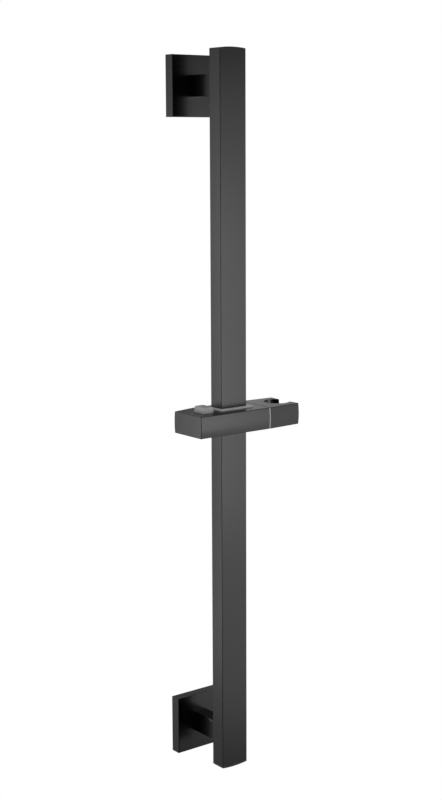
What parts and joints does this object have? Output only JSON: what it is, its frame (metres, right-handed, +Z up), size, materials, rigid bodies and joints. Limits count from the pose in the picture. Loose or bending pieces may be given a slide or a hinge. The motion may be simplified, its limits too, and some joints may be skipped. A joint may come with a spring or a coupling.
{
  "type": "shower slide rail",
  "caption": "An upright flat rail on two square wall brackets, with a push-button slider and a swivelling open-ended handset holder.",
  "frame": {"origin": "on the wall plane, midway between the two wall screws of the lower bracket", "axes": "+X along the wall to the right, towards the holder's open end; +Y into the wall; +Z up, along the rail"},
  "size_m": [0.1199, 0.0833, 0.692],
  "materials": {
    "satin_black_metal": "satin powder coat",
    "satin_black_plastic": "satin moulded",
    "zinc_steel": "zinc plated",
    "stainless_steel": "bright turned",
    "light_grey_plastic": "fine matt moulded",
    "black_nylon": "matt moulded",
    "black_rubber": "matt",
    "brass": "turned"
  },
  "bodies": {
    "rail": {"rail_tube": "satin_black_metal", "upper_end_cap": "satin_black_plastic", "upper_bracket": "satin_black_metal", "upper_wall_plate": "zinc_steel", "upper_grub_screw": "stainless_steel", "upper_rail_screw": "stainless_steel", "upper_nut_plate": "zinc_steel", "lower_end_cap": "satin_black_plastic", "lower_bracket": "satin_black_metal", "lower_wall_plate": "zinc_steel", "lower_grub_screw": "stainless_steel", "lower_rail_screw": "stainless_steel", "lower_nut_plate": "zinc_steel"},
    "slider": {"slider_body": "satin_black_metal", "upper_guide_bush": "light_grey_plastic", "lower_guide_bush": "light_grey_plastic", "button_spring": "stainless_steel", "friction_washer": "light_grey_plastic", "swivel_sleeve": "brass", "swivel_spring": "stainless_steel", "swivel_screw": "stainless_steel"},
    "button": {"release_button": "light_grey_plastic"},
    "shoe": {"brake_shoe": "black_nylon", "brake_pad": "black_rubber"},
    "head": {"holder_head": "satin_black_metal"}
  },
  "joints": [
    {"name": "slider_travel", "type": "slide", "parent": "rail", "child": "slider", "axis": [0, 0, 1], "range_m": [-0.293, 0.286]},
    {"name": "button_press", "type": "slide", "parent": "slider", "child": "button", "axis": [0, 0, -1], "range_m": [0, 0.003], "stiffness_N_per_m": 700, "springref_m": -0.003, "deforming": ["button_spring"]},
    {"name": "brake_release", "type": "slide", "parent": "slider", "child": "shoe", "axis": [-1, 0, 0], "range_m": [0, 0.0009]},
    {"name": "holder_tilt", "type": "hinge", "parent": "slider", "child": "head", "pos_m": [0.0375, -0.0595, 0.3173], "axis": [1, 0, 0], "continuous": true}
  ],
  "couplings": [
    {"joint": "brake_release", "follows": "button_press", "ratio": 0.3}
  ]
}
